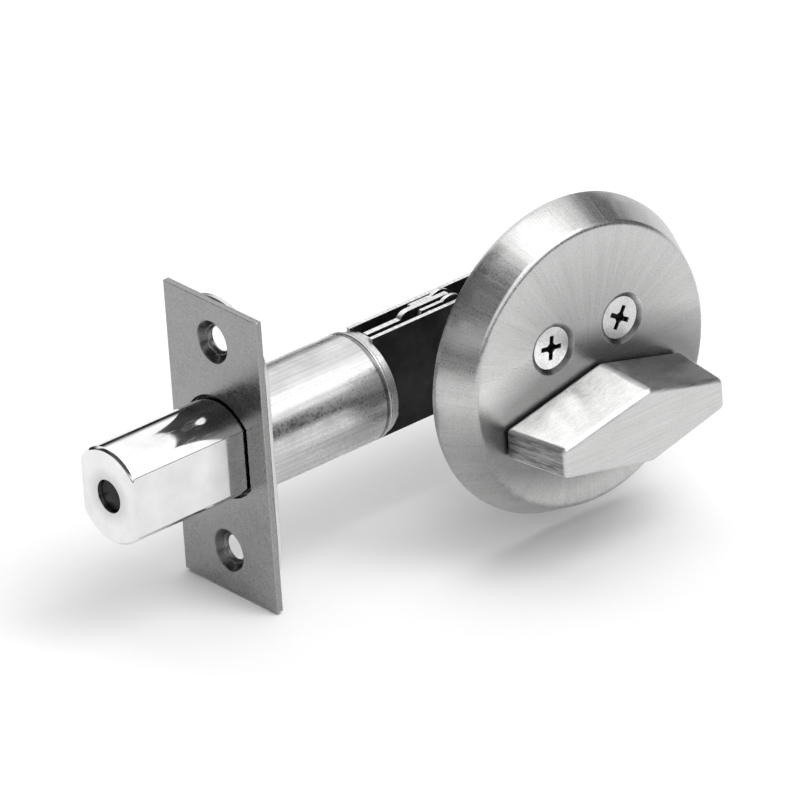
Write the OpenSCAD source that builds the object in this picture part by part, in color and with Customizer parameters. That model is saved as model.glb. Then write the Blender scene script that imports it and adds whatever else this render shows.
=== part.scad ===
// One-sided tubular deadbolt: a bolt thrown through a door edge by a thumbturn.
// X runs from the door edge into the door, Z is up, and the thumbturn side is -Y.
// The origin is on the bolt's axis, on the back of the plate that seats in the door edge.
// The model is drawn with the bolt thrown and the thumbturn level.

/* [Door] */
// Door edge to the centre of the thumbturn
backset = 60.325; // [58:0.025:64]
// Thickness of the door
door_t = 44.45; // [35:0.05:46]

/* [Front plates] */
// Width of the faceplate
plate_w = 25.4; // [24:0.1:32]
// Height of the faceplate
plate_h = 57.15; // [55:0.05:64]
// Thickness of the faceplate
plate_t = 1.3; // [1:0.1:1.6]
// Thickness of the round-ended plate behind it
back_t = 0.8; // [0.7:0.1:1.2]
// How far the round-ended plate stands past the faceplate at each end
back_over = 0.3; // [0.1:0.05:0.8]
// Spacing of the two plate screw holes
plate_hole_gap = 41.275; // [40:0.025:44]
// Radius of a plate screw hole
plate_hole_r = 2.3; // [2:0.1:2.6]
// Radius of the countersink's mouth
plate_sink_r = 4.1; // [3.8:0.1:4.4]

/* [Bolt] */
// Travel of the bolt
throw = 25.4; // [22:0.1:25.4]
// Radius of the bolt's round top and bottom
bolt_r = 9.2; // [8.6:0.1:9.2]
// Width of the bolt across its two flats
bolt_w = 14.4; // [13:0.1:14.6]
// Radius of the hole for the anti-saw roller
roller_hole_r = 3.1; // [2.6:0.1:3.4]
// Depth of that hole
roller_hole_depth = 16; // [12:0.5:18]

/* [Tube and case] */
// Outside radius of the tube
tube_r = 10.2; // [10.2:0.05:10.6]
// Wall of the tube
tube_wall = 0.8; // [0.6:0.05:0.8]
// Length of the tube
tube_len = 29.2; // [29:0.1:30.4]
// Height of the two case plates
case_h = 19.8; // [19:0.1:20.4]
// Width over the case plates
case_w = 7; // [7:0.1:8]
// Thickness of a case plate
case_t = 0.9; // [0.7:0.05:0.9]

/* [Hub and cams] */
// How far the hub's axis sits below the bolt's axis
hub_drop = 4.2; // [4:0.05:4.5]
// Width of the flat spindle
spindle_w = 5.2; // [4.6:0.1:5.2]
// Thickness of the flat spindle
spindle_t = 2; // [1.6:0.1:2.2]

/* [Rose and thumbturn] */
// Radius of the rose at the door
rose_r = 29.8; // [29:0.1:32]
// Radius of the rose's flat face
rose_face_r = 27; // [26:0.1:27.5]
// Height of the rose off the door
rose_h = 7.75; // [7.5:0.05:9]
// Height of the rose's centre above the bolt's axis
rose_up = 3.5; // [2.5:0.1:3.5]
// Half the spacing of the two rose screws
rose_screw_x = 8; // [7.8:0.1:9]
// Height of the rose screws above the rose's centre
rose_screw_up = 6.25; // [6:0.05:7.5]
// Radius of the rose's rounded shoulder
rose_round = 1.4; // [1:0.1:2]
// Length of the thumbturn at its base
thumb_len = 41; // [36:0.5:42]
// Height of the thumbturn at its widest point
thumb_mid = 15.6; // [13:0.1:16]
// Height of the thumbturn at its ends
thumb_end = 5.8; // [4.5:0.1:7]
// How far the widest point sits past the middle, away from the door edge
thumb_peak = 1.8; // [0:0.1:2]
// Depth of the thumbturn
thumb_d = 13.8; // [12:0.1:16]

/* [Hidden] */
$fn = 96;
eps = 0.01;
turn_angle = 90;                     // thumbturn travel
running = 0.05;                      // radial clearance of a turning pair
gap = 0.3;                           // clearance between parts that slide past each other

front_x = -(plate_t + back_t);       // front of the faceplate, level with the door edge
hub_x = backset + front_x;           // the hub, spindle and thumbturn share this axis
hub_z = -hub_drop;
door_y = -door_t / 2;                // the door face the rose sits on
rose_y = door_y - rose_h;            // the rose's flat face

tube_bore_r = tube_r - tube_wall;
bolt_front = front_x - throw;
bulkhead_x = tube_len - 1;           // its front face, inside the tube's end
flange_r = tube_r - 0.5;
bolt_back = bulkhead_x - throw - gap;

tube_bead = 0.5;                     // band left at the tube's end, behind a shallow groove
groove_w = 0.9;
groove_depth = 0.2;

case_x = tube_len + 1.6;             // the case plates' shoulders, against the bulkhead's flange
case_tongue_x = bulkhead_x;          // their tongues go right through the bulkhead
case_tongue_h = 11;
case_in = case_w / 2 - case_t;       // inner face of a case plate

crank = throw / 2;                   // pin's height over the hub, and half its travel
pin_reach = crank * sqrt(2);         // pin's distance from the hub at each end of travel
pin_r = 1;
pin_x = hub_x - crank;
pin_z = hub_z + crank;
pin_slot_r = pin_r + gap;

bar_t = 1.2;                         // drawbar
bar_low = 0;                         // its lower edge, clear of the hub
bar_neck_top = 5.2;
bar_x = bolt_back - 6.5;
bar_body_x = case_x + 1.3;
bar_body_top = 9.3;
bar_step_x = 39.4;
bar_step_r = 2.3;
bar_step_top = 10.4;
bar_end = pin_x + 5.6;
case_end = bar_end + throw + 4.2;

cam_in = bar_t / 2 + 0.5;            // inner face of a cam plate
cam_t = 0.8;
cam_out = cam_in + cam_t;
cam_hub_r = 6;
cam_tip_r = pin_slot_r + 1.1;
cam_lobe = [2.7, 13.65];             // centre of the shoulder beside the pin slot
cam_lobe_r = 3.3;
hub_r = 3.9;
trunnion_r = 3.4;
trunnion_end = case_w / 2 + 0.6;

rivet_r = 1.7;
rivet_tenon_r = 1.1;
rivet_z = hub_z - 2.4;               // the leaf passes just under the rivets
rivets = [[case_x + 3.6, rivet_z], [hub_x - 12, rivet_z], [hub_x + 16.5, rivet_z],
          [case_end - 2, 4.4]];

tail_pin_r = 1.2;
tail_pin_x = bolt_back - 3;
tail_pin_z = (bar_low + bar_neck_top) / 2;
tail_pin_half = bolt_w / 2 - 0.2;
roller_recess = 1;                   // the roller sits this deep in its hole
roller_r = roller_hole_r - running;

rose_wall = 2;
rose_rim = 1.1;
rose_in_y = rose_y + rose_wall;
mount_t = 2;
mount_r = 27;
mount_y = door_y - mount_t;
mount_pcd = 46;
mount_hole_r = 2.25;
spindle_hole_r = 7;
post_r = 3.2;
rose_screw_z = rose_up + rose_screw_up;
rose_screw_r = 1.9;
rose_head_r = 3.95;
rose_sink_r = 4.9;
rose_sink_depth = 1.8;
rose_screw_sink = 0.6;               // the heads sit this far below the rose's face
rose_screw_end = door_y - 0.4;

shank_r = 6;
shank_end = mount_y - 0.6;
thumb_gap = 0.4;
thumb_y = rose_y - thumb_gap;
thumb_lean = 1.9;                    // each end leans in this much from base to front
thumb_taper = 0.7;                   // and each peak drops this much
clip_r = 8.4;
clip_t = 0.8;
clip_y = rose_in_y + 0.55;
clip_groove = 0.9;
washer_t = 0.4;

// ---- helpers ----

// Cylinder along X from x0 to x1, on the bolt's axis
module rod_x(r, x0, x1) translate([x0, 0, 0]) rotate([0, 90, 0]) cylinder(r = r, h = x1 - x0);

// Cylinder along Y from y0 to y1 at (x, z)
module rod_y(r, x, z, y0, y1)
    translate([x, y1, z]) rotate([90, 0, 0]) cylinder(r = r, h = y1 - y0);

// Cone along Y: radius r0 at y0 and r1 at y1
module cone_y(r0, r1, x, z, y0, y1)
    translate([x, y1, z]) rotate([90, 0, 0]) cylinder(r1 = r1, r2 = r0, h = y1 - y0);

module block(x0, x1, y0, y1, z0, z1)
    translate([x0, y0, z0]) cube([x1 - x0, y1 - y0, z1 - z0]);

// An outline drawn in X and Z, made solid from y0 to y1
module sheet_xz(y0, y1)
    translate([0, y1, 0]) rotate([90, 0, 0]) linear_extrude(y1 - y0) children();

// An outline drawn in Y and Z, made solid from x0 to x1
module sheet_yz(x0, x1)
    translate([x0, 0, 0]) rotate([90, 0, 90]) linear_extrude(x1 - x0) children();

// Round bar with two side flats
module bolt_outline(r, w) intersection() {
    circle(r);
    square([w, 2 * r + 2], center = true);
}

// ---- front plates and tube ----

module plate_screw_holes() for (s = [-1, 1]) translate([0, 0, s * plate_hole_gap / 2]) {
    rod_x(plate_hole_r, front_x - 1, 1);
    translate([front_x, 0, 0]) rotate([0, 90, 0])
        cylinder(r1 = plate_sink_r, r2 = plate_hole_r, h = plate_sink_r - plate_hole_r);
}

module bolt_opening() sheet_yz(front_x - 1, 1) bolt_outline(bolt_r + 0.5, bolt_w + 1);

module faceplate() color("silver") difference() {
    block(front_x, -back_t, -plate_w / 2, plate_w / 2, -plate_h / 2, plate_h / 2);
    bolt_opening();
    plate_screw_holes();
}

module back_plate() color("gainsboro") difference() {
    sheet_yz(-back_t, 0) {
        square([plate_w, plate_h + 2 * back_over - plate_w], center = true);
        for (s = [-1, 1]) translate([0, s * (plate_h / 2 + back_over - plate_w / 2)])
            circle(plate_w / 2);
    }
    bolt_opening();
    plate_screw_holes();
}

module bolt_tube() color("lightgray") difference() {
    rod_x(tube_r, 0, tube_len);
    rod_x(tube_bore_r, -1, tube_len + 1);
    difference() {
        rod_x(tube_r + 1, tube_len - tube_bead - groove_w, tube_len - tube_bead);
        rod_x(tube_r - groove_depth, 0, tube_len);
    }
}

module tube_bulkhead() color("lightgray") difference() {
    union() {
        rod_x(tube_bore_r - 0.02, bulkhead_x, tube_len + eps);
        rod_x(flange_r, tube_len, case_x);
        intersection() {
            block(case_x - eps, bar_body_x - gap, -case_in + 0.02, case_in - 0.02,
                  -tube_r, tube_r);
            rod_x(flange_r - 0.3, tube_len, bar_body_x);
        }
    }
    block(0, bar_body_x, -bar_t / 2 - gap, bar_t / 2 + gap, bar_low - gap, bar_neck_top + gap);
    for (s = [-1, 1]) mirror([0, s < 0 ? 1 : 0, 0])
        block(0, case_x, case_in - 0.02, case_w / 2 + 0.02,
              -case_tongue_h / 2 - 0.02, case_tongue_h / 2 + 0.02);
}

// ---- case ----

module case_outline() difference() {
    union() {
        translate([case_x, -case_h / 2]) square([case_end - case_x, case_h]);
        translate([case_tongue_x, -case_tongue_h / 2])
            square([case_x - case_tongue_x + eps, case_tongue_h]);
    }
    translate([hub_x, hub_z]) circle(trunnion_r + running);
    for (p = rivets) translate(p) circle(rivet_tenon_r + 0.02);
}

module case_plate_near() color("dimgray") sheet_xz(-case_w / 2, -case_in) case_outline();

module case_plate_far() color("dimgray") sheet_xz(case_in, case_w / 2) case_outline();

module case_rivets() color("gray") for (p = rivets) {
    rod_y(rivet_r, p[0], p[1], -case_in + 0.02, case_in - 0.02);
    rod_y(rivet_tenon_r, p[0], p[1], -case_w / 2, case_w / 2);
}

// Leaf that bears up on the hub, hooked over the two rivets beside it
module detent_spring() color("slategray") {
    leaf_t = 0.5;
    leaf_y = 0.8;
    top = hub_z - hub_r - gap;
    left = rivets[1][0] - rivet_r - 0.05;
    right = rivets[2][0] + rivet_r + 0.05;
    block(left - leaf_t, right + leaf_t, -leaf_y, leaf_y, top - leaf_t, top);
    block(left - leaf_t, left, -leaf_y, leaf_y, top - eps, rivet_z + 0.6);
    block(right, right + leaf_t, -leaf_y, leaf_y, top - eps, rivet_z + 0.6);
}

// ---- bolt ----

module bolt() color("white") difference() {
    intersection() {
        sheet_yz(bolt_front, bolt_back) bolt_outline(bolt_r, bolt_w);
        union() {
            translate([bolt_front, 0, 0]) rotate([0, 90, 0])
                cylinder(r1 = bolt_r - 0.5, r2 = bolt_r + 0.1, h = 0.6);
            rod_x(bolt_r + 1, bolt_front + 0.6, bolt_back);
        }
    }
    rod_x(roller_hole_r, bolt_front - 1, bolt_front + roller_hole_depth);
    block(bar_x - 0.05, bolt_back + 1, -bar_t / 2 - 0.02, bar_t / 2 + 0.02,
          bar_low - 0.02, bar_neck_top + 0.02);
    rod_y(tail_pin_r + 0.02, tail_pin_x, tail_pin_z, -bolt_w, bolt_w);
}

module drawbar() color("darkgray") sheet_xz(-bar_t / 2, bar_t / 2) difference() {
    union() {
        translate([bar_x, bar_low]) square([bar_end - bar_x, bar_neck_top - bar_low]);
        translate([bar_body_x, bar_low]) square([bar_end - bar_body_x, bar_body_top - bar_low]);
        translate([bar_step_x + bar_step_r, bar_low])
            square([bar_end - bar_step_x - bar_step_r, bar_step_top - bar_low]);
        translate([bar_step_x + bar_step_r, bar_step_top - bar_step_r]) circle(bar_step_r);
    }
    translate([tail_pin_x, tail_pin_z]) circle(tail_pin_r + 0.02);
    translate([pin_x, pin_z]) circle(pin_r + 0.02);
}

module tail_pin() color("gray")
    rod_y(tail_pin_r, tail_pin_x, tail_pin_z, -tail_pin_half, tail_pin_half);

module drive_pin() color("gray") rod_y(pin_r, pin_x, pin_z, -cam_out, cam_out);

module roller_pin() color("gray")
    rod_x(roller_r, bolt_front + roller_recess, bolt_front + roller_hole_depth - 0.3);

// ---- hub, cams and spindle ----

module spindle_slot() block(hub_x - spindle_w / 2 - 0.02, hub_x + spindle_w / 2 + 0.02, -50, 50,
                            hub_z - spindle_t / 2 - 0.02, hub_z + spindle_t / 2 + 0.02);

module hub() color("gray") difference() {
    union() {
        rod_y(hub_r, hub_x, hub_z, -cam_out - 0.1, cam_out + 0.1);
        rod_y(trunnion_r, hub_x, hub_z, -trunnion_end, trunnion_end);
    }
    spindle_slot();
}

module hub_washers() color("darkgray") for (s = [0, 1]) mirror([0, s, 0]) difference() {
    rod_y(5, hub_x, hub_z, cam_out + 0.12, case_in - 0.05);
    rod_y(hub_r + 0.05, hub_x, hub_z, 0, case_w);
}

// Where the drive pin sits in the upright cam, for a bolt that moves evenly with the turn
function pin_path(a) = let(s = crank * a / 45)
    [s * cos(a) - crank * sin(a), s * sin(a) + crank * cos(a)];

// The cam as it stands half way through the turn
module cam_outline() difference() {
    union() {
        circle(cam_hub_r);
        polygon([[-cam_hub_r, 0], [cam_hub_r, 0], [cam_lobe[0] + cam_lobe_r, cam_lobe[1]],
                 [cam_tip_r, pin_reach], [-cam_tip_r, pin_reach], [-4.4, cam_lobe[1]]]);
        translate(cam_lobe) circle(cam_lobe_r);
        translate([0, pin_reach]) circle(cam_tip_r);
    }
    circle(hub_r + 0.02);
    rotate(-turn_angle / 2) translate([-crank - 2 * cam_tip_r, crank + pin_slot_r + 0.3])
        square([2 * cam_tip_r + 2.1, cam_tip_r]);
    for (a = [-45:5:45]) translate(pin_path(a)) circle(pin_slot_r);
    polygon([for (a = [-45:5:45]) pin_path(a)]);
}

module cam(y0, y1) color("dimgray") sheet_xz(y0, y1)
    translate([hub_x, hub_z]) rotate(turn_angle / 2) cam_outline();

module cam_near() cam(-cam_out, -cam_in);

module cam_far() cam(cam_in, cam_out);

module spindle() color("gray") block(hub_x - spindle_w / 2, hub_x + spindle_w / 2,
                                     thumb_y - 9, trunnion_end + 1.5,
                                     hub_z - spindle_t / 2, hub_z + spindle_t / 2);

// ---- rose and thumbturn ----

// Moves a profile of radius and height onto the rose's axis, standing off the door
module on_rose() translate([hub_x, door_y, rose_up]) rotate([90, 0, 0]) children();

// Half section of a dished cover: the bevel meets the round shoulder without an edge
module rose_profile(r, face_r, h, rim, round_r) {
    c = [face_r - round_r, h - round_r];
    rise = atan2(rim - c[1], r - c[0]) + acos(round_r / norm([r - c[0], rim - c[1]]));
    polygon([[0, 0], [r, 0], [r, rim], c + round_r * [cos(rise), sin(rise)], [c[0], h], [0, h]]);
    translate(c) circle(round_r);
}

module rose() color("silver") difference() {
    on_rose() rotate_extrude() intersection() {
        rose_profile(rose_r, rose_face_r, rose_h, rose_rim, rose_round);
        square([rose_r + 1, rose_h + 1]);
    }
    on_rose() translate([0, 0, -eps]) rotate_extrude() intersection() {
        rose_profile(rose_r - rose_wall, rose_face_r - rose_wall, rose_h - rose_wall, rose_rim, 0.6);
        square([rose_r + 1, rose_h + 1]);
    }
    rod_y(shank_r + running, hub_x, hub_z, rose_y - 1, door_y);
    for (s = [-1, 1]) {
        rod_y(rose_screw_r + 0.4, hub_x + s * rose_screw_x, rose_screw_z, rose_y - 1, door_y);
        cone_y(rose_sink_r, rose_screw_r + 0.4, hub_x + s * rose_screw_x, rose_screw_z,
               rose_y - eps, rose_y + rose_sink_depth);
    }
}

module mounting_plate() color("lightgray") difference() {
    on_rose() cylinder(r = mount_r, h = mount_t);
    rod_y(spindle_hole_r, hub_x, hub_z, mount_y - 1, door_y + 1);
    for (a = [45:90:315]) on_rose() rotate(a) translate([mount_pcd / 2, 0, -1])
        cylinder(r = mount_hole_r, h = mount_t + 2);
    for (s = [-1, 1])
        rod_y(post_r - 0.6, hub_x + s * rose_screw_x, rose_screw_z, mount_y - 1, door_y + 1);
}

module rose_posts() color("lightgray") for (s = [-1, 1]) difference() {
    union() {
        rod_y(post_r, hub_x + s * rose_screw_x, rose_screw_z, rose_in_y + 0.15, mount_y - 0.02);
        rod_y(post_r - 0.62, hub_x + s * rose_screw_x, rose_screw_z, mount_y - 0.03, door_y);
    }
    rod_y(rose_screw_r + 0.02, hub_x + s * rose_screw_x, rose_screw_z, rose_y, door_y + 1);
}

// Countersunk screw with a cross recess turned by a
module rose_screw(x, a) {
    top = rose_y + rose_screw_sink;
    slope = rose_sink_depth / (rose_sink_r - rose_screw_r - 0.4);
    difference() {
        union() {
            cone_y(rose_head_r, rose_screw_r - 0.02, x, rose_screw_z, top,
                   top + (rose_head_r - rose_screw_r) * slope);
            rod_y(rose_screw_r - 0.02, x, rose_screw_z, top, rose_screw_end);
        }
        translate([x, top, rose_screw_z]) rotate([0, a, 0]) {
            for (q = [0, 90]) rotate([0, q, 0]) block(-2.3, 2.3, -1, 1.2, -0.45, 0.45);
            rotate([0, 45, 0]) block(-0.95, 0.95, -1, 1.2, -0.95, 0.95);
        }
    }
}

module rose_screws() color("gainsboro") {
    rose_screw(hub_x - rose_screw_x, 8);
    rose_screw(hub_x + rose_screw_x, 32);
}

// Six-sided outline of the grip, long in X and tallest at its peak
module thumb_outline(lean, taper) {
    half = thumb_len / 2 - lean;
    peak = thumb_mid / 2 - taper;
    tip = thumb_end / 2;
    polygon([[-half, -tip], [thumb_peak, -peak], [half, -tip],
             [half, tip], [thumb_peak, peak], [-half, tip]]);
}

module thumbturn() color("silver") difference() {
    union() {
        translate([hub_x, 0, hub_z]) hull() {
            sheet_xz(thumb_y - eps, thumb_y) thumb_outline(0, 0);
            sheet_xz(thumb_y - thumb_d, thumb_y - thumb_d + eps)
                thumb_outline(thumb_lean, thumb_taper);
        }
        rod_y(shank_r, hub_x, hub_z, thumb_y - 0.05, shank_end);
    }
    block(hub_x - spindle_w / 2 - 0.02, hub_x + spindle_w / 2 + 0.02, thumb_y - 9.02, door_y,
          hub_z - spindle_t / 2 - 0.02, hub_z + spindle_t / 2 + 0.02);
    difference() {
        rod_y(shank_r + 1, hub_x, hub_z, clip_y, clip_y + clip_t);
        rod_y(shank_r - clip_groove, hub_x, hub_z, clip_y - 1, clip_y + clip_t + 1);
    }
}

module thumb_washer() color("darkgray") difference() {
    rod_y(clip_r, hub_x, hub_z, rose_in_y + 0.05, rose_in_y + 0.05 + washer_t);
    rod_y(shank_r + running, hub_x, hub_z, rose_in_y - 1, door_y);
}

// Open ring that snaps into the groove in the shank
module retaining_clip() color("gray") difference() {
    rod_y(clip_r - 0.4, hub_x, hub_z, clip_y + 0.02, clip_y + clip_t - 0.02);
    rod_y(shank_r - clip_groove + 0.02, hub_x, hub_z, clip_y - 1, clip_y + clip_t + 1);
    block(hub_x - 3, hub_x + 3, clip_y - 1, clip_y + clip_t + 1, hub_z - clip_r - 1, hub_z);
}

faceplate();
back_plate();
bolt_tube();
tube_bulkhead();
case_plate_near();
case_plate_far();
case_rivets();
detent_spring();
mounting_plate();
rose_posts();
rose();
rose_screws();
bolt();
drawbar();
tail_pin();
drive_pin();
roller_pin();
hub();
hub_washers();
cam_near();
cam_far();
spindle();
thumbturn();
thumb_washer();
retaining_clip();
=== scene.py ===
import math

import bmesh
import bpy
from mathutils import Matrix, Vector


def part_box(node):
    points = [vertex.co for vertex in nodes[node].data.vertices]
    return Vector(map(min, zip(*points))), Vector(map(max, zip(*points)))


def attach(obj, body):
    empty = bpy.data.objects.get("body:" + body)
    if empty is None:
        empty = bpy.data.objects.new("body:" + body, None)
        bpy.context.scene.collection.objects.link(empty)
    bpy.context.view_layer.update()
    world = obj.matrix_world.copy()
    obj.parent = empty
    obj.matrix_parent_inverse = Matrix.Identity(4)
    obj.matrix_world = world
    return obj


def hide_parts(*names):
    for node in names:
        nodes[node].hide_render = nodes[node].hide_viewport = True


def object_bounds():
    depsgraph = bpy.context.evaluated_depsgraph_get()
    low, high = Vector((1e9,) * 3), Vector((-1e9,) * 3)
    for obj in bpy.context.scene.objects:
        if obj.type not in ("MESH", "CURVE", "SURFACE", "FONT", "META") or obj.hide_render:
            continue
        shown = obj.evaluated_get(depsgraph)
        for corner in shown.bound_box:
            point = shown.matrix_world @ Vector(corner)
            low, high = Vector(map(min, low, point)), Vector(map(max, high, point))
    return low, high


MM = 0.001

# ---- camera ----
CAM_AZIMUTH = -38.53      # degrees
CAM_ELEVATION = 27.19
CAM_ROLL = -4.15
CAM_DISTANCE = 2.5        # metres from the point aimed at
CAM_AIM = Vector((27.5, -15.0, 0.0)) * MM
CAM_ASIDE = (-0.64 * MM, 2.79 * MM)   # the aim's shift along the view's right and up
CAM_LENS = 639.5
SENSOR = 36.0

# ---- light ----
HORIZON = 0.03            # brightness of the surroundings level with the object
OVERHEAD = 1.3            # and above it
BAND = (0.17, 0.43)       # sines of the elevations between which one turns to the other
# Panels in the tent: azimuth, elevation, half width, half width with its soft border, brightness
PANELS = (
    (0, 82, 16, 36, 2.1),         # overhead
    (24, 57, 9, 18, 6.2),         # front
    (38, 18, 5, 12, 0.02),        # black strip under it
    (90, 0, 43, 51, 0.10),        # dark cloth at the right end
    (116, 9, 6, 14, 1.0),         # with a gap in it
    (-141, 27, 12, 24, 0.04),     # black flags behind the plate side
    (-100, 52, 24, 36, 0.10),
)


# ---- node helpers ----

class Shader:
    """A material's node tree with short calls for the nodes used here."""

    def __init__(self, name):
        self.mat = bpy.data.materials.new(name)
        self.mat.use_nodes = True
        self.tree = self.mat.node_tree
        self.bsdf = self.tree.nodes["Principled BSDF"]
        self.coords = self.node("ShaderNodeTexCoord").outputs["Object"]

    def node(self, kind, **props):
        n = self.tree.nodes.new(kind)
        for k, v in props.items():
            setattr(n, k, v)
        return n

    def link(self, out, socket):
        self.tree.links.new(out, socket)

    def put(self, socket, value):
        if isinstance(value, bpy.types.NodeSocket):
            self.link(value, socket)
        else:
            socket.default_value = value

    def math(self, op, a, b=0.0, clamp=False):
        n = self.node("ShaderNodeMath", operation=op, use_clamp=clamp)
        self.put(n.inputs[0], a)
        self.put(n.inputs[1], b)
        return n.outputs[0]

    def split(self, vector):
        n = self.node("ShaderNodeSeparateXYZ")
        self.link(vector, n.inputs[0])
        return n.outputs

    def join(self, x, y, z):
        n = self.node("ShaderNodeCombineXYZ")
        for socket, v in zip(n.inputs, (x, y, z)):
            self.put(socket, v)
        return n.outputs[0]

    def scaled(self, vector, scale):
        n = self.node("ShaderNodeMapping")
        self.link(vector, n.inputs["Vector"])
        n.inputs["Scale"].default_value = scale
        return n.outputs[0]

    def noise(self, vector, scale, detail=3.0, rough=0.55):
        n = self.node("ShaderNodeTexNoise")
        self.link(vector, n.inputs["Vector"])
        n.inputs["Scale"].default_value = scale
        n.inputs["Detail"].default_value = detail
        n.inputs["Roughness"].default_value = rough
        return n.outputs["Fac"]

    def spread(self, value, lo, hi, to_lo=0.0, to_hi=1.0):
        n = self.node("ShaderNodeMapRange", clamp=True)
        self.put(n.inputs["Value"], value)
        for key, v in (("From Min", lo), ("From Max", hi), ("To Min", to_lo), ("To Max", to_hi)):
            n.inputs[key].default_value = v
        return n.outputs[0]

    def mix(self, factor, a, b):
        n = self.node("ShaderNodeMix", data_type="RGBA")
        self.put(n.inputs["Factor"], factor)
        for socket, v in ((n.inputs[6], a), (n.inputs[7], b)):
            self.put(socket, v)
        return n.outputs[2]

    def bump(self, height, strength, depth, after=None):
        n = self.node("ShaderNodeBump")
        n.inputs["Strength"].default_value = strength
        n.inputs["Distance"].default_value = depth
        self.link(height, n.inputs["Height"])
        if after is not None:
            self.link(after, n.inputs["Normal"])
        return n.outputs[0]

    def edges(self, radius=0.3 * MM):
        """1 along rubbed edges, 0 away from them."""
        rolled = self.node("ShaderNodeBevel", samples=4)
        rolled.inputs["Radius"].default_value = radius
        plain = self.node("ShaderNodeNewGeometry")
        same = self.node("ShaderNodeVectorMath", operation="DOT_PRODUCT")
        self.link(rolled.outputs[0], same.inputs[0])
        self.link(plain.outputs["Normal"], same.inputs[1])
        return self.spread(same.outputs["Value"], 0.98, 0.80)

    def own_normal(self):
        """The normal in the piece's own axes, so that a mask turns with the piece."""
        turn = self.node("ShaderNodeVectorTransform", vector_type="NORMAL",
                         convert_from="WORLD", convert_to="OBJECT")
        self.link(self.node("ShaderNodeNewGeometry").outputs["Normal"], turn.inputs[0])
        return turn.outputs[0]

    def across(self, lay):
        """Direction in the surface square to lay, which is a direction fixed to the piece."""
        turn = self.node("ShaderNodeVectorTransform", vector_type="VECTOR",
                         convert_from="OBJECT", convert_to="WORLD")
        turn.inputs[0].default_value = lay
        cross = self.node("ShaderNodeVectorMath", operation="CROSS_PRODUCT")
        self.link(self.node("ShaderNodeNewGeometry").outputs["Normal"], cross.inputs[0])
        self.link(turn.outputs[0], cross.inputs[1])
        return cross.outputs[0]

    def length(self, a, b):
        """Length of the vector (a, b)."""
        return self.math("SQRT", self.math("ADD", self.math("MULTIPLY", a, a),
                                           self.math("MULTIPLY", b, b)))

    def polar(self, centre):
        """Distance from an axis along Y through centre, and its X and Z parts."""
        x, _, z = self.split(self.coords)
        dx = self.math("SUBTRACT", x, centre.x)
        dz = self.math("SUBTRACT", z, centre.z)
        return self.length(dx, dz), dx, dz


def grey(v, warmth=0.0):
    return (v * (1 + warmth), v, v * (1 - 1.6 * warmth), 1.0)


# ---- materials ----

def brushed(name, shade, rough, streak, warmth=0.003, depth=1.0, wear=0.35, blotch=0.10, ends=None,
            paint_hole_shade=False, lay=None):
    """Satin plated metal, brushed along the axis with the lowest streak scale. ends is the shade of
    the faces that look along X, which get a coarser scraped finish and painted shade that keeps them
    darker than the other faces. paint_hole_shade paints shade into the plate screws' countersinks.
    lay is the direction that the brush lines run in, for a finish that stretches its highlights
    across them."""
    s = Shader(name)
    fine = s.noise(s.scaled(s.coords, streak), 1.0, detail=4, rough=0.65)
    coarse = s.noise(s.scaled(s.coords, tuple(v * 0.22 for v in streak)), 1.0, detail=2)
    cloud = s.noise(s.coords, 90.0, detail=4)
    grain = s.noise(s.coords, 3400.0, detail=2)
    tone = s.math("ADD", s.math("MULTIPLY", fine, 0.45),
                  s.math("ADD", s.math("MULTIPLY", cloud, 0.25), s.math("MULTIPLY", grain, 0.30)))
    base = s.mix(s.spread(tone, 0.38, 0.62), grey(shade * (1 - blotch), warmth),
                 grey(min(shade * (1 + blotch), 0.95), warmth))
    # End faces: scraped finish, plus painted shade that makes them darker than the other faces.
    if ends is not None:
        along, _, _ = s.split(s.own_normal())
        end_face = s.spread(s.math("ABSOLUTE", along), 0.80, 0.95)
        scrape = s.noise(s.scaled(s.coords, (400, 160, 1300)), 1.0, detail=4, rough=0.7)
        scraped_and_shaded = s.mix(s.spread(scrape, 0.38, 0.60), grey(ends * 0.45, warmth),
                        grey(ends * 1.35, warmth))
        base = s.mix(end_face, base, scraped_and_shaded)
    # Painted shade inside the plate screws' countersinks.
    if paint_hole_shade:
        x, y, z = s.split(s.coords)
        dz = s.math("SUBTRACT", s.math("ABSOLUTE", z), PLATE_HOLE_Z)
        plate_hole_shade = s.math("MULTIPLY", s.spread(s.length(y, dz), 4.0 * MM, 4.3 * MM, 1.0, 0.0),
                        s.spread(x, PLATE_FRONT + 0.02 * MM, PLATE_FRONT + 0.3 * MM))
        base = s.mix(s.math("MULTIPLY", plate_hole_shade, 0.8), base, grey(0.07))
    s.put(s.bsdf.inputs["Base Color"],
          s.mix(s.math("MULTIPLY", s.edges(), wear), base, grey(0.86, warmth)))
    s.bsdf.inputs["Metallic"].default_value = 1.0
    lift = s.math("ADD", s.spread(fine, 0.3, 0.7, rough - 0.07, rough + 0.07),
                  s.spread(cloud, 0.35, 0.65, -0.04, 0.04))
    s.put(s.bsdf.inputs["Roughness"], lift)
    height = s.math("ADD", s.math("MULTIPLY", fine, 0.7), s.math("MULTIPLY", grain, 0.3))
    first = s.bump(coarse, 0.12 * depth, 0.05 * MM)
    s.put(s.bsdf.inputs["Normal"], s.bump(height, 0.22 * depth, 0.02 * MM, first))
    if lay is not None:
        s.bsdf.inputs["Anisotropic"].default_value = 0.8
        s.put(s.bsdf.inputs["Tangent"], s.across(lay))
    return s.mat


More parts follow.
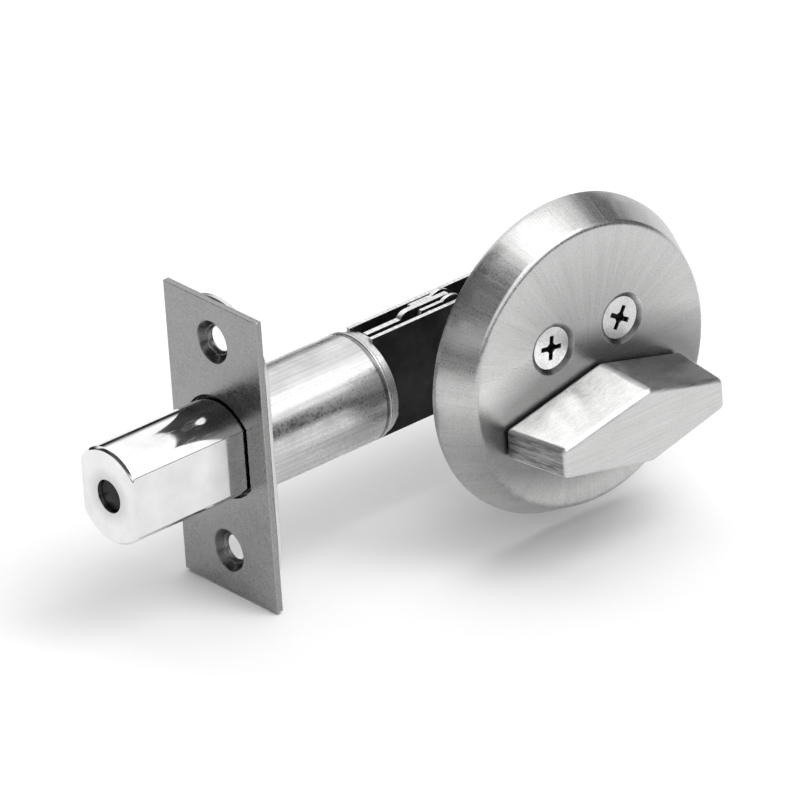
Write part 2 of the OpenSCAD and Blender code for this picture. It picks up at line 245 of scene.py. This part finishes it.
def turned(name, centre, shade, rough, sink, grip_shadow, rays=120.0, ring=900.0, warmth=0.003,
           ray_share=0.35, depth=1.0):
    """Satin metal with streaks that run out from the centre, and faint rings. sink holds the depths
    between which painted shade darkens the screws' countersinks. grip_shadow is the centre of the
    painted shadow round the grip, its half length and its half height; the face is also painted
    darker towards its centre, as more painted shade round the grip."""
    s = Shader(name)
    radius, dx, dz = s.polar(centre)
    spoke_x = s.math("DIVIDE", dx, s.math("MAXIMUM", radius, 0.0005))
    spoke_z = s.math("DIVIDE", dz, s.math("MAXIMUM", radius, 0.0005))
    fan = s.join(s.math("MULTIPLY", spoke_x, rays), s.math("MULTIPLY", radius, 130.0),
                 s.math("MULTIPLY", spoke_z, rays))
    ray = s.noise(fan, 1.0, detail=5, rough=0.7)
    wide = s.noise(s.join(s.math("MULTIPLY", spoke_x, rays * 0.12), s.math("MULTIPLY", radius, 20.0),
                          s.math("MULTIPLY", spoke_z, rays * 0.12)), 1.0, detail=2)
    rings = s.noise(s.join(s.math("MULTIPLY", radius, ring), s.math("MULTIPLY", spoke_x, 1.5),
                           s.math("MULTIPLY", spoke_z, 1.5)), 1.0, detail=3)
    grain = s.noise(s.coords, 3600.0, detail=2)
    tone = s.math("ADD", s.math("MULTIPLY", ray, ray_share),
                  s.math("ADD", s.math("MULTIPLY", wide, 0.2), s.math("MULTIPLY", grain, 0.45)))
    base = s.mix(s.spread(tone, 0.40, 0.60), grey(shade * 0.84, warmth), grey(shade * 1.13, warmth))
    _, y, _ = s.split(s.coords)
    # Painted shade deep in the screws' countersinks.
    countersink_shade = s.math("MULTIPLY", s.spread(y, sink[0], sink[0] + 0.5 * MM, 0.35, 1.0),
                  s.math("MULTIPLY", s.spread(y, sink[1] - 0.1 * MM, sink[1], 1.0, 0.0),
                         s.math("MULTIPLY", s.spread(radius, 0.019, 0.020, 1.0, 0.0),
                                s.spread(y, sink[0] - 0.1 * MM, sink[0]))))
    grip_centre, grip_long, grip_high = grip_shadow
    _, grip_x, grip_z = s.polar(grip_centre)
    out = s.length(s.math("DIVIDE", grip_x, grip_long), s.math("DIVIDE", grip_z, grip_high))
    # Painted shade round the grip: the face gets darker towards its centre.
    base = s.mix(s.spread(radius, 0.012, 0.024, 0.35, 0.0), base, grey(shade * 0.25, warmth))
    # Painted shadow of the grip, in an ellipse round it.
    base = s.mix(s.spread(out, 0.98, 1.55, 0.70, 0.0), base, grey(shade * 0.18, warmth))
    base = s.mix(s.math("MULTIPLY", countersink_shade, 0.85), base, grey(0.04))
    s.put(s.bsdf.inputs["Base Color"],
          s.mix(s.math("MULTIPLY", s.edges(), 0.3), base, grey(0.88, warmth)))
    s.bsdf.inputs["Metallic"].default_value = 1.0
    s.put(s.bsdf.inputs["Roughness"], s.spread(tone, 0.35, 0.65, rough - 0.06, rough + 0.06))
    height = s.math("ADD", s.math("MULTIPLY", ray, 0.6),
                    s.math("ADD", s.math("MULTIPLY", grain, 0.3), s.math("MULTIPLY", rings, 0.25)))
    s.put(s.bsdf.inputs["Normal"], s.bump(height, 0.25 * depth, 0.02 * MM))
    return s.mat


def chrome(name, front_x, hole_r, root_reflection_x):
    """Bright plating with hairline scratches and polishing haze, painted shade and a rougher finish
    round the end hole, and a painted dark reflection of the faceplate that builds up between the two
    values of root_reflection_x."""
    s = Shader(name)
    haze = s.noise(s.coords, 120.0, detail=5, rough=0.6)
    hair = s.noise(s.scaled(s.coords, (160, 5200, 5200)), 1.0, detail=2)
    hair_b = s.noise(s.scaled(s.coords, (2600, 300, 900)), 1.0, detail=2)
    lines = s.math("MAXIMUM", s.spread(hair, 0.66, 0.72), s.spread(hair_b, 0.69, 0.75))
    x, y, z = s.split(s.coords)
    # Painted shade round the end hole, which is also rougher there.
    end_hole_shade = s.math("MULTIPLY", s.spread(s.length(y, z), hole_r, hole_r * 1.9, 1.0, 0.0),
                  s.spread(x, front_x + 0.2 * MM, front_x + 0.6 * MM, 1.0, 0.0))
    base = s.mix(s.spread(haze, 0.35, 0.7), grey(0.82), grey(0.68))
    # Painted dark reflection of the faceplate, growing towards the bolt's root.
    root_reflection = s.spread(x, root_reflection_x[0], root_reflection_x[1], 0.0, 0.45)
    base = s.mix(root_reflection, base, grey(0.30))
    s.put(s.bsdf.inputs["Base Color"], s.mix(s.math("MULTIPLY", end_hole_shade, 0.6), base, grey(0.40)))
    s.bsdf.inputs["Metallic"].default_value = 1.0
    shine = s.math("ADD", s.spread(haze, 0.45, 0.72, 0.06, 0.14), s.math("MULTIPLY", lines, 0.14))
    s.put(s.bsdf.inputs["Roughness"], s.math("ADD", shine, s.math("MULTIPLY", end_hole_shade, 0.12)))
    ripple = s.noise(s.coords, 160.0, detail=1)
    wave = s.bump(ripple, 0.10, 0.25 * MM)
    s.put(s.bsdf.inputs["Normal"], s.bump(lines, 0.10, 0.006 * MM, wave))
    return s.mat


def zinc(name, shade=0.56, rough=0.36, axis_scale=(25, 1900, 1900), groove_r=None):
    """Zinc-plated steel: cloudy patches, drawing lines and small pits. Below the radius groove_r it
    is painted dark, as painted shade in a groove round a tube."""
    s = Shader(name)
    cloud = s.noise(s.coords, 140.0, detail=5, rough=0.6)
    lines = s.noise(s.scaled(s.coords, axis_scale), 1.0, detail=4, rough=0.65)
    cells = s.node("ShaderNodeTexVoronoi")
    s.link(s.coords, cells.inputs["Vector"])
    cells.inputs["Scale"].default_value = 1500.0
    speck = s.spread(s.noise(s.coords, 2600.0, detail=2), 0.66, 0.74)
    tone = s.math("ADD", s.math("MULTIPLY", cloud, 0.4), s.math("MULTIPLY", lines, 0.6))
    base = s.mix(s.spread(tone, 0.38, 0.62), grey(shade * 0.82), grey(shade * 1.16))
    base = s.mix(s.math("MULTIPLY", speck, 0.25), base, grey(shade * 0.45))
    # Painted shade below the radius groove_r, in the groove round the tube.
    if groove_r is not None:
        _, y, z = s.split(s.coords)
        low = s.spread(s.length(y, z), groove_r - 0.14 * MM, groove_r - 0.06 * MM, 0.75, 0.0)
        base = s.mix(low, base, grey(0.12))
    s.put(s.bsdf.inputs["Base Color"], s.mix(s.math("MULTIPLY", s.edges(), 0.5), base, grey(0.85)))
    s.bsdf.inputs["Metallic"].default_value = 1.0
    flake = s.spread(cells.outputs["Distance"], 0.0, 0.6, -0.05, 0.05)
    s.put(s.bsdf.inputs["Roughness"],
          s.math("ADD", s.spread(cloud, 0.35, 0.65, rough + 0.07, rough - 0.05), flake))
    height = s.math("ADD", s.math("MULTIPLY", lines, 0.7), s.math("MULTIPLY", speck, -0.2))
    s.put(s.bsdf.inputs["Normal"], s.bump(height, 0.3, 0.02 * MM))
    return s.mat


def black_steel(name):
    """Blackened sheet with bright sheared edges and rubbed patches."""
    s = Shader(name)
    geometry = s.node("ShaderNodeNewGeometry")
    _, across, _ = s.split(geometry.outputs["True Normal"])
    cut_edge = s.spread(s.math("ABSOLUTE", across), 0.80, 0.60)
    shear = s.noise(s.scaled(s.coords, (3800, 500, 3800)), 1.0, detail=3)
    cloud = s.noise(s.coords, 160.0, detail=5, rough=0.6)
    rub = s.noise(s.scaled(s.coords, (120, 2000, 1800)), 1.0, detail=4, rough=0.7)
    scuff = s.math("MULTIPLY", s.spread(rub, 0.62, 0.72), s.spread(cloud, 0.45, 0.65))
    black = s.mix(s.spread(cloud, 0.35, 0.65), grey(0.012), grey(0.035))
    black = s.mix(s.math("MULTIPLY", scuff, 0.35), black, grey(0.30))
    bright = s.mix(s.spread(shear, 0.35, 0.65), grey(0.60), grey(0.90))
    s.put(s.bsdf.inputs["Base Color"], s.mix(cut_edge, black, bright))
    s.put(s.bsdf.inputs["Metallic"], s.spread(cut_edge, 0.0, 1.0, 0.55, 1.0))
    s.put(s.bsdf.inputs["Roughness"],
          s.math("ADD", s.spread(cloud, 0.35, 0.65, 0.30, 0.42), s.math("MULTIPLY", scuff, -0.06)))
    s.put(s.bsdf.inputs["Normal"], s.bump(s.math("ADD", cloud, s.math("MULTIPLY", rub, 0.4)),
                                          0.18, 0.03 * MM))
    return s.mat


def steel_part(name, shade, rough, stretch=(900, 900, 900), wear=0.6):
    """Small machined or pressed steel part: tool marks, oil-dark patches and bright edges."""
    s = Shader(name)
    marks = s.noise(s.scaled(s.coords, stretch), 1.0, detail=4, rough=0.6)
    cloud = s.noise(s.coords, 300.0, detail=4)
    tone = s.math("ADD", s.math("MULTIPLY", marks, 0.5), s.math("MULTIPLY", cloud, 0.5))
    base = s.mix(s.spread(tone, 0.36, 0.64), grey(shade * 0.75), grey(shade * 1.2))
    s.put(s.bsdf.inputs["Base Color"], s.mix(s.math("MULTIPLY", s.edges(), wear), base, grey(0.85)))
    s.bsdf.inputs["Metallic"].default_value = 1.0
    s.put(s.bsdf.inputs["Roughness"], s.spread(tone, 0.35, 0.65, rough + 0.07, rough - 0.06))
    s.put(s.bsdf.inputs["Normal"], s.bump(marks, 0.25, 0.02 * MM))
    return s.mat


def screw_head(name, face_y, shade=0.62, rough=0.26):
    """Plated screw: turned face, and painted shade in its recess."""
    s = Shader(name)
    x, y, z = s.split(s.coords)
    # Painted shade deeper in the recess; the recess is also rougher there.
    depth = s.spread(y, face_y + 0.12 * MM, face_y + 0.45 * MM)
    marks = s.noise(s.scaled(s.coords, (2200, 300, 2200)), 1.0, detail=4, rough=0.6)
    cloud = s.noise(s.coords, 420.0, detail=3)
    tone = s.math("ADD", s.math("MULTIPLY", marks, 0.5), s.math("MULTIPLY", cloud, 0.5))
    base = s.mix(s.spread(tone, 0.36, 0.64), grey(shade * 0.85), grey(shade * 1.12))
    s.put(s.bsdf.inputs["Base Color"], s.mix(depth, base, grey(0.02)))
    s.bsdf.inputs["Metallic"].default_value = 1.0
    s.put(s.bsdf.inputs["Roughness"],
          s.math("ADD", s.spread(tone, 0.35, 0.65, rough + 0.06, rough - 0.05),
                 s.math("MULTIPLY", depth, 0.3)))
    s.put(s.bsdf.inputs["Normal"], s.bump(marks, 0.2, 0.015 * MM))
    return s.mat


def nylon(name):
    """Pale washer plastic with a faint mottle."""
    s = Shader(name)
    mottle = s.noise(s.coords, 900.0, detail=3)
    s.put(s.bsdf.inputs["Base Color"], s.mix(mottle, grey(0.62, 0.03), grey(0.75, 0.03)))
    s.put(s.bsdf.inputs["Roughness"], s.spread(mottle, 0.3, 0.7, 0.42, 0.55))
    s.bsdf.inputs["Subsurface Weight"].default_value = 0.1
    s.put(s.bsdf.inputs["Normal"], s.bump(mottle, 0.15, 0.02 * MM))
    return s.mat


def paper_floor(name):
    """White paper for the floor."""
    s = Shader(name)
    tooth = s.noise(s.coords, 600.0, detail=3)
    s.put(s.bsdf.inputs["Base Color"], s.mix(tooth, grey(0.93), grey(0.95)))
    s.bsdf.inputs["Roughness"].default_value = 0.9
    s.bsdf.inputs["Specular IOR Level"].default_value = 0.1
    return s.mat


# ---- geometry ----

SHARP_ANGLE = 32.0        # degrees; softer edges aren't rounded
FLAT_ANGLE = 0.4          # faces closer than this in direction count as one


def soften(obj, width, segments=2):
    """Rounds a CAD node's sharp edges by width, in mm, with modifiers, and leaves its mesh alone."""
    weld = obj.modifiers.new("weld", "WELD")
    weld.merge_threshold = 0.002 * MM
    flat = obj.modifiers.new("flat", "DECIMATE")
    flat.decimate_type = "DISSOLVE"
    flat.angle_limit = math.radians(FLAT_ANGLE)
    bevel = obj.modifiers.new("bevel", "BEVEL")
    bevel.width = width * MM
    bevel.segments = segments
    bevel.limit_method = "ANGLE"
    bevel.angle_limit = math.radians(SHARP_ANGLE)
    bevel.use_clamp_overlap = True
    even = obj.modifiers.new("even", "WEIGHTED_NORMAL")
    even.keep_sharp = False
    even.weight = 60


def outside_shank(vert, axis, shank_r):
    return math.hypot(vert.co.x - axis.x, vert.co.z - axis.z) > shank_r + 0.5 * MM


def rounded_grip(source, axis, shank_r, width, segments=5):
    """The thumbturn with the grip's edges rolled over; its shank stays as it is."""
    bm = bmesh.new()
    bm.from_mesh(source.data)
    bmesh.ops.remove_doubles(bm, verts=bm.verts, dist=0.03 * MM)
    bmesh.ops.dissolve_limit(bm, angle_limit=math.radians(0.6), verts=bm.verts, edges=bm.edges)
    rim = [e for e in bm.edges if all(outside_shank(v, axis, shank_r) for v in e.verts)
           and e.calc_face_angle(0) > math.radians(15)]
    bmesh.ops.bevel(bm, geom=rim, offset=width, segments=segments, profile=0.5,
                    affect="EDGES", clamp_overlap=False)
    mesh = bpy.data.meshes.new("thumb_grip")
    bm.to_mesh(mesh)
    bm.free()
    mesh.polygons.foreach_set("use_smooth", [True] * len(mesh.polygons))
    mesh.set_sharp_from_angle(angle=math.radians(34))
    grip = bpy.data.objects.new("thumb_grip", mesh)
    bpy.context.scene.collection.objects.link(grip)
    even = grip.modifiers.new("even", "WEIGHTED_NORMAL")
    even.keep_sharp = True
    even.weight = 80
    return grip


# ---- assembly ----

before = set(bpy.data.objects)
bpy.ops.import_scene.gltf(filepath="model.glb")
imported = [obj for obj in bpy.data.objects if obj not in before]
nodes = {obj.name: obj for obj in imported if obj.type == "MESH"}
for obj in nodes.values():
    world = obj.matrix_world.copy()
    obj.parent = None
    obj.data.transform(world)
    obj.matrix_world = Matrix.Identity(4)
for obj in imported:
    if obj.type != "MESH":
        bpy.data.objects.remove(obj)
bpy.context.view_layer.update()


def middle(name):
    lo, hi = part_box(name)
    return (lo + hi) / 2


ROSE_C = middle("rose")
HUB_C = middle("hub")
ROSE_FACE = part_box("rose")[0].y
PLATE_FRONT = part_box("faceplate")[0].x
PLATE_HOLE_Z = 20.64 * MM                              # half the plate screws' spacing
SHANK_R = 6.0 * MM                                     # the thumbturn's round shank
GRIP_ROUND = 0.95 * MM                                 # and the rounding of its grip's edges
GRIP_SHADOW = (HUB_C, 24 * MM, 10 * MM)                      # painted shadow round the grip: centre, half sizes
ROOT_REFLECTION_X = (PLATE_FRONT - 9 * MM, PLATE_FRONT - 3 * MM)  # where the bolt carries a painted dark reflection of the faceplate
SINK = (ROSE_FACE + 0.15 * MM, ROSE_FACE + 1.9 * MM)   # depths in the countersinks that get painted shade

# Each node's finish, and the nodes that share one
FINISH = {
    "faceplate": brushed("plate_satin", 0.30, 0.30, (2600, 1900, 2600), depth=1.2, blotch=0.2,
                         paint_hole_shade=True),
    "back_plate": brushed("back_plate_satin", 0.66, 0.30, (2600, 2600, 45), paint_hole_shade=True),
    "bolt_tube": zinc("tube_zinc", 0.60, 0.25, groove_r=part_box("bolt_tube")[1].z),
    "tube_bulkhead": zinc("bulkhead_zinc", 0.60, 0.36, (1800, 1800, 1800)),
    "case_plate_near": black_steel("case_black"),
    "case_rivets": steel_part("rivet_steel", 0.55, 0.30),
    "detent_spring": steel_part("spring_steel", 0.30, 0.32, (60, 2400, 2400)),
    "mounting_plate": zinc("mount_zinc", 0.55, 0.40, (60, 2600, 2600)),
    "rose_posts": zinc("post_zinc", 0.60, 0.34, (2400, 60, 2400)),
    "rose": turned("rose_satin", ROSE_C, 0.54, 0.30, SINK, GRIP_SHADOW),
    "rose_screws": screw_head("screw_steel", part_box("rose_screws")[0].y),
    "bolt": chrome("bolt_chrome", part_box("bolt")[0].x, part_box("roller_pin")[1].z, ROOT_REFLECTION_X),
    "tail_pin": steel_part("pin_steel", 0.62, 0.26, (2600, 60, 2600)),
    # Near black: a black oxide finish, and painted shade that makes the hole in the bolt's end read
    # dark.
    "roller_pin": steel_part("roller_steel", 0.03, 0.42, (2400, 60, 2400), wear=0.1),
    "hub": steel_part("hub_steel", 0.46, 0.36),
    "hub_washers": steel_part("washer_steel", 0.58, 0.30),
    "spindle": steel_part("spindle_steel", 0.62, 0.30, (2600, 60, 2600)),
    "thumbturn": brushed("thumb_satin", 0.64, 0.36, (60, 2600, 2600), depth=0.6, wear=0.2,
                         blotch=0.16, ends=0.30, lay=(1, 0, 0)),
    "thumb_washer": nylon("washer_nylon"),
    "retaining_clip": steel_part("clip_steel", 0.26, 0.30),
}
SAME_FINISH = {"case_plate_far": "case_plate_near", "cam_far": "case_plate_near",
               "cam_near": "case_plate_near", "drawbar": "case_plate_near",
               "drive_pin": "tail_pin"}

# Rounding of each node's edges, in mm
EDGE = {
    "faceplate": 0.16, "back_plate": 0.12, "bolt_tube": 0.08, "tube_bulkhead": 0.1,
    "case_plate_near": 0.09, "case_plate_far": 0.09, "case_rivets": 0.12, "detent_spring": 0.06,
    "mounting_plate": 0.16, "rose_posts": 0.12, "rose": 0.22, "rose_screws": 0.1, "bolt": 0.3,
    "drawbar": 0.12, "tail_pin": 0.12, "drive_pin": 0.12, "roller_pin": 0.25, "hub": 0.15,
    "hub_washers": 0.06, "cam_near": 0.1, "cam_far": 0.1, "spindle": 0.12, "thumbturn": 0.8,
    "thumb_washer": 0.06, "retaining_clip": 0.06,
}

for name, obj in nodes.items():
    mat = FINISH[SAME_FINISH.get(name, name)]
    obj.data.materials.clear()
    obj.data.materials.append(mat)
    soften(obj, EDGE[name], segments=4 if name == "thumbturn" else 2)


grip = rounded_grip(nodes["thumbturn"], HUB_C, SHANK_R, GRIP_ROUND)
grip.data.materials.append(FINISH["thumbturn"])
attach(grip, "turn_group")
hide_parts("thumbturn")


# ---- stage ----

FLOOR_HALF = 3.0          # metres


def make_floor():
    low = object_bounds()[0]
    mesh = bpy.data.meshes.new("floor")
    bm = bmesh.new()
    bmesh.ops.create_grid(bm, x_segments=2, y_segments=2, size=FLOOR_HALF)
    bm.to_mesh(mesh)
    bm.free()
    floor = bpy.data.objects.new("floor", mesh)
    floor.location = (0, 0, low.z - 0.2 * MM)
    mesh.materials.append(paper_floor("floor_paper"))
    bpy.context.scene.collection.objects.link(floor)


def toward(azimuth, elevation):
    """Unit vector from the object in a direction given in degrees."""
    a, e = math.radians(azimuth), math.radians(elevation)
    return Vector((math.sin(a) * math.cos(e), -math.cos(a) * math.cos(e), math.sin(e)))


def add_panel(tree, where, strength, direction, inner, outer, level):
    """Turns the tent's strength to level inside a round patch with a soft border."""
    near = tree.nodes.new("ShaderNodeVectorMath")
    near.operation = "DOT_PRODUCT"
    near.inputs[1].default_value = direction
    tree.links.new(where, near.inputs[0])
    patch = tree.nodes.new("ShaderNodeMapRange")
    patch.interpolation_type = "SMOOTHSTEP"
    patch.inputs["From Min"].default_value = math.cos(math.radians(outer))
    patch.inputs["From Max"].default_value = math.cos(math.radians(inner))
    tree.links.new(near.outputs["Value"], patch.inputs["Value"])
    blend = tree.nodes.new("ShaderNodeMix")
    tree.links.new(patch.outputs[0], blend.inputs["Factor"])
    tree.links.new(strength, blend.inputs[2])
    blend.inputs[3].default_value = level
    return blend.outputs[0]


def make_world():
    """A tent that is bright overhead and dark round the horizon, with its panels."""
    world = bpy.data.worlds.new("studio")
    world.use_nodes = True
    tree = world.node_tree
    back = tree.nodes["Background"]
    where = tree.nodes.new("ShaderNodeTexCoord")
    parts = tree.nodes.new("ShaderNodeSeparateXYZ")
    tree.links.new(where.outputs["Generated"], parts.inputs[0])
    rise = tree.nodes.new("ShaderNodeMapRange")
    rise.interpolation_type = "SMOOTHSTEP"
    for key, v in (("From Min", BAND[0]), ("From Max", BAND[1]),
                   ("To Min", HORIZON), ("To Max", OVERHEAD)):
        rise.inputs[key].default_value = v
    tree.links.new(parts.outputs[2], rise.inputs["Value"])
    strength = rise.outputs[0]
    for azimuth, elevation, inner, outer, level in PANELS:
        strength = add_panel(tree, where.outputs["Generated"], strength,
                             toward(azimuth, elevation), inner, outer, level)
    tree.links.new(strength, back.inputs["Strength"])
    back.inputs["Color"].default_value = (1.0, 1.0, 1.0, 1.0)
    bpy.context.scene.world = world


def make_camera():
    a, r = math.radians(CAM_AZIMUTH), math.radians(CAM_ROLL)
    right = Vector((math.cos(a), math.sin(a), 0))
    back = toward(CAM_AZIMUTH, CAM_ELEVATION)
    up = back.cross(right)
    view_right = right * math.cos(r) + up * math.sin(r)
    view_up = up * math.cos(r) - right * math.sin(r)
    data = bpy.data.cameras.new("camera")
    data.sensor_width = SENSOR
    data.lens = CAM_LENS
    data.clip_start, data.clip_end = 0.1, 20.0
    camera = bpy.data.objects.new("camera", data)
    aim = CAM_AIM + view_right * CAM_ASIDE[0] + view_up * CAM_ASIDE[1]
    turn = Matrix((view_right, view_up, back)).transposed().to_4x4()
    camera.matrix_world = Matrix.Translation(aim + back * CAM_DISTANCE) @ turn
    bpy.context.scene.collection.objects.link(camera)
    bpy.context.scene.camera = camera


make_floor()
make_world()
bpy.context.scene.view_settings.view_transform = "Standard"
make_camera()
